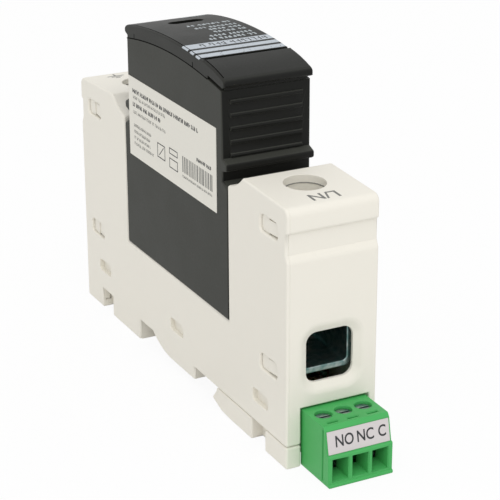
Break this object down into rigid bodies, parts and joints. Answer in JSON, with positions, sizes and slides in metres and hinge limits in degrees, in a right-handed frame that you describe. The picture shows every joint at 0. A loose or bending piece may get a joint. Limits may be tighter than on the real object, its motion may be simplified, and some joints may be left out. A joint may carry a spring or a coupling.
{
  "type": "din rail surge arrester",
  "caption": "Rail-mounted surge arrester: U-shaped base with lift-cage terminals, plug-in varistor cartridge with a trip flag, and a pluggable signalling connector.",
  "frame": {"origin": "middle of the seat plane for the 35 mm rail", "axes": "+Z away from the rail, X across the module's width, the signalling plug at -Y"},
  "size_m": [0.018, 0.0996, 0.0672],
  "materials": {
    "housing": "moulded warm white, fine satin texture",
    "cartridge": "moulded dark grey, fine matte texture",
    "cap": "moulded black, fine matte texture",
    "label": "printed off-white film",
    "marking_strip": "silver-grey film",
    "green_plastic": "moulded green, satin",
    "copper": "plain copper strip",
    "zinc_steel": "zinc or tin plated",
    "black_plastic": "moulded black",
    "varistor_coat": "dipped epoxy coat",
    "flag_red": "moulded red"
  },
  "bodies": {
    "base": {"base_shell": "housing", "base_cover": "housing", "line_busbar": "zinc_steel", "line_contact": "copper", "earth_busbar": "zinc_steel", "earth_contact": "copper", "signal_switch": "black_plastic", "signal_leads": "copper", "signal_header": "green_plastic", "header_pins": "zinc_steel", "clip_spring": "zinc_steel"},
    "cartridge": {"cartridge_case": "cartridge", "cartridge_cap": "cap", "side_label": "label", "varistor": "varistor_coat", "line_blade": "copper", "earth_blade": "copper", "thermal_link": "copper", "trip_spring": "zinc_steel"},
    "trip_slide": {"trip_slide": "flag_red"},
    "rail_clip": {"rail_clip": "housing"},
    "switch_plunger": {"switch_plunger": "black_plastic"},
    "signal_plug": {"plug_body": "green_plastic", "plug_contacts": "copper", "plug_label": "marking_strip"},
    "line_screw": {"line_screw": "zinc_steel"},
    "line_cage": {"line_cage": "zinc_steel"},
    "earth_screw": {"earth_screw": "zinc_steel"},
    "earth_cage": {"earth_cage": "zinc_steel"},
    "plug_screw_1": {"plug_screw_1": "zinc_steel"},
    "plug_clamp_1": {"plug_clamp_1": "zinc_steel"},
    "plug_screw_2": {"plug_screw_2": "zinc_steel"},
    "plug_clamp_2": {"plug_clamp_2": "zinc_steel"},
    "plug_screw_3": {"plug_screw_3": "zinc_steel"},
    "plug_clamp_3": {"plug_clamp_3": "zinc_steel"}
  },
  "joints": [
    {"name": "cartridge_pull", "type": "slide", "parent": "base", "child": "cartridge", "axis": [0, 0, 1], "range_m": [0, 0.05]},
    {"name": "trip_travel", "type": "slide", "parent": "cartridge", "child": "trip_slide", "axis": [0, 1, 0], "range_m": [0, 0.006], "deforming": ["trip_spring"]},
    {"name": "clip_pull", "type": "slide", "parent": "base", "child": "rail_clip", "axis": [0, -1, 0], "range_m": [0, 0.003], "stiffness_N_per_m": 900, "deforming": ["clip_spring"]},
    {"name": "plunger_press", "type": "slide", "parent": "base", "child": "switch_plunger", "axis": [0, 0, -1], "range_m": [0, 0.0012], "stiffness_N_per_m": 150},
    {"name": "plug_pull", "type": "slide", "parent": "base", "child": "signal_plug", "axis": [0, -1, 0], "range_m": [0, 0.015]},
    {"name": "line_screw_turn", "type": "hinge", "parent": "base", "child": "line_screw", "pos_m": [0, -0.0347, 0.03], "axis": [0, 0, -1], "range_deg": [0, 2160]},
    {"name": "line_cage_lift", "type": "slide", "parent": "base", "child": "line_cage", "axis": [0, 0, 1], "range_m": [0, 0.0048]},
    {"name": "earth_screw_turn", "type": "hinge", "parent": "base", "child": "earth_screw", "pos_m": [0, 0.0347, 0.03], "axis": [0, 0, -1], "range_deg": [0, 2160]},
    {"name": "earth_cage_lift", "type": "slide", "parent": "base", "child": "earth_cage", "axis": [0, 0, 1], "range_m": [0, 0.0048]},
    {"name": "plug_screw_1_turn", "type": "hinge", "parent": "signal_plug", "child": "plug_screw_1", "pos_m": [-0.00328, -0.0479, 0.004], "axis": [0, 0, -1], "range_deg": [0, 1620]},
    {"name": "plug_clamp_1_lift", "type": "slide", "parent": "signal_plug", "child": "plug_clamp_1", "axis": [0, 0, 1], "range_m": [0, 0.0018]},
    {"name": "plug_screw_2_turn", "type": "hinge", "parent": "signal_plug", "child": "plug_screw_2", "pos_m": [0.00068, -0.0479, 0.004], "axis": [0, 0, -1], "range_deg": [0, 1620]},
    {"name": "plug_clamp_2_lift", "type": "slide", "parent": "signal_plug", "child": "plug_clamp_2", "axis": [0, 0, 1], "range_m": [0, 0.0018]},
    {"name": "plug_screw_3_turn", "type": "hinge", "parent": "signal_plug", "child": "plug_screw_3", "pos_m": [0.00464, -0.0479, 0.004], "axis": [0, 0, -1], "range_deg": [0, 1620]},
    {"name": "plug_clamp_3_lift", "type": "slide", "parent": "signal_plug", "child": "plug_clamp_3", "axis": [0, 0, 1], "range_m": [0, 0.0018]}
  ],
  "couplings": [
    {"joint": "line_screw_turn", "follows": "line_cage_lift", "rad_per_m": 7854},
    {"joint": "earth_screw_turn", "follows": "earth_cage_lift", "rad_per_m": 7854},
    {"joint": "plug_screw_1_turn", "follows": "plug_clamp_1_lift", "rad_per_m": 15708},
    {"joint": "plug_screw_2_turn", "follows": "plug_clamp_2_lift", "rad_per_m": 15708},
    {"joint": "plug_screw_3_turn", "follows": "plug_clamp_3_lift", "rad_per_m": 15708}
  ]
}
